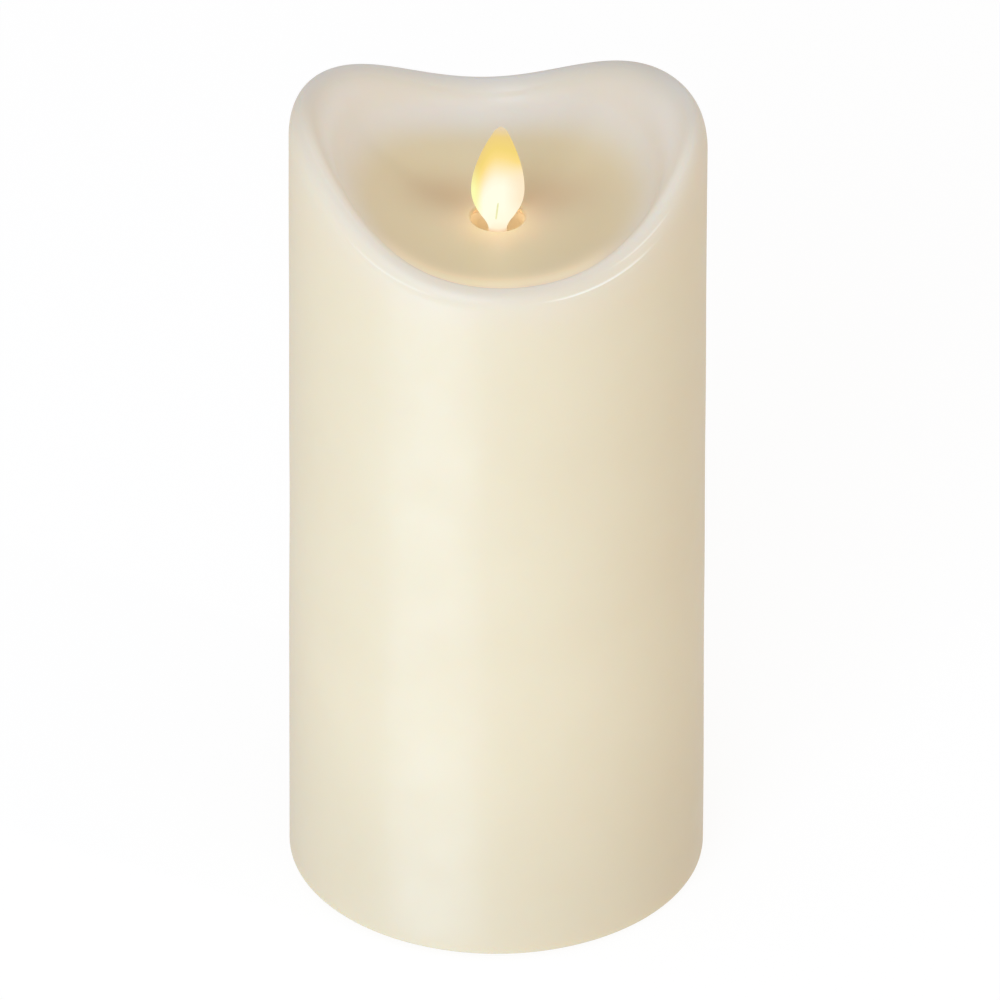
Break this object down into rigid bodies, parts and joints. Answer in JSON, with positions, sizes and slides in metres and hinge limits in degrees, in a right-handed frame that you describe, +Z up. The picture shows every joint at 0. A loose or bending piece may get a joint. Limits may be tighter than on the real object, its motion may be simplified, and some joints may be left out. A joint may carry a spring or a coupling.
{
  "type": "flameless led candle",
  "caption": "Ivory wax pillar candle with a saddle-shaped melted rim and a swinging lit flame in its recess; battery door and switch below.",
  "frame": {"origin": "centre of the base, on the surface the candle stands on", "axes": "+Z up along the candle's axis; -Y is the front, the side with the low rim that is seen in use; +X is the candle's right as seen from the front"},
  "size_m": [0.0826, 0.0826, 0.1743],
  "materials": {
    "wax": "real paraffin wax, ivory, satin, slightly translucent",
    "ivory_plastic": "moulded ivory plastic, satin",
    "black_plastic": "moulded black plastic, fine grain",
    "component_black": "black epoxy moulding",
    "steel": "bright nickel-plated steel",
    "screw_steel": "zinc-plated screw steel",
    "switch_steel": "tinned steel stamping",
    "magnet_nickel": "nickel-plated magnet",
    "rubber": "matt black rubber",
    "cell_sleeve": "printed shrink sleeve with bright metal ends",
    "capacitor_sleeve": "dark shrink sleeve with an aluminium top",
    "slider_white": "moulded white plastic",
    "board": "green solder mask on fibreglass",
    "resistor_body": "lacquered tan body with colour bands",
    "flame": "thin translucent flame plastic, lit from below",
    "led_epoxy": "clear warm-white epoxy lens",
    "copper": "enamelled copper",
    "red_insulation": "red wire insulation",
    "black_insulation": "black wire insulation",
    "white_insulation": "white wire insulation"
  },
  "bodies": {
    "candle": {"wax_shell": "wax", "inner_liner": "ivory_plastic", "flame_housing_front": "ivory_plastic", "flame_housing_rear": "ivory_plastic", "base_plate": "black_plastic", "battery_box": "black_plastic", "coil_bobbin": "black_plastic", "led_retainer": "black_plastic", "controller_chip": "component_black", "coil_transistor": "component_black", "upper_positive_contact": "steel", "upper_negative_contact": "steel", "upper_spring": "steel", "led_leg_anode": "steel", "led_leg_cathode": "steel", "timer_crystal": "steel", "base_screw_1": "screw_steel", "base_screw_2": "screw_steel", "base_screw_3": "screw_steel", "base_screw_4": "screw_steel", "box_screw_1": "screw_steel", "box_screw_2": "screw_steel", "switch_screw_1": "screw_steel", "switch_screw_2": "screw_steel", "board_screw_1": "screw_steel", "board_screw_2": "screw_steel", "clamp_screw_1": "screw_steel", "clamp_screw_2": "screw_steel", "flange_screw_1": "screw_steel", "flange_screw_2": "screw_steel", "flange_screw_3": "screw_steel", "flange_screw_4": "screw_steel", "switch_body": "switch_steel", "foot_pad_1": "rubber", "foot_pad_2": "rubber", "foot_pad_3": "rubber", "foot_pad_4": "rubber", "battery_cell_left": "cell_sleeve", "battery_cell_right": "cell_sleeve", "smoothing_capacitor": "capacitor_sleeve", "circuit_board": "board", "led_resistor": "resistor_body", "led_lamp": "led_epoxy", "coil_winding": "copper", "coil_lead_1": "copper", "coil_lead_2": "copper", "battery_lead_positive": "red_insulation", "led_lead_1": "red_insulation", "switch_lead_2": "red_insulation", "battery_lead_negative": "black_insulation", "led_lead_2": "black_insulation", "switch_lead_3": "black_insulation", "switch_lead_1": "white_insulation"},
    "wire": {"pivot_wire": "steel"},
    "paddle": {"flame_paddle": "flame", "paddle_magnet": "magnet_nickel"},
    "door": {"battery_door": "black_plastic", "door_bridge_plate": "steel", "door_spring": "steel"},
    "slider": {"switch_slider": "slider_white"}
  },
  "joints": [
    {"name": "flame_rock", "type": "hinge", "parent": "candle", "child": "wire", "pos_m": [0, 0, 0.1375], "axis": [0, 1, 0], "range_deg": [-5, 5]},
    {"name": "flame_swing", "type": "hinge", "parent": "wire", "child": "paddle", "pos_m": [0, 0, 0.1375], "axis": [1, 0, 0], "range_deg": [-8, 8]},
    {"name": "battery_door_hinge", "type": "hinge", "parent": "candle", "child": "door", "pos_m": [0, 0.0132, 0.0025], "axis": [1, 0, 0], "range_deg": [0, 100]},
    {"name": "switch_slide", "type": "slide", "parent": "candle", "child": "slider", "axis": [1, 0, 0], "range_m": [0, 0.004]}
  ]
}
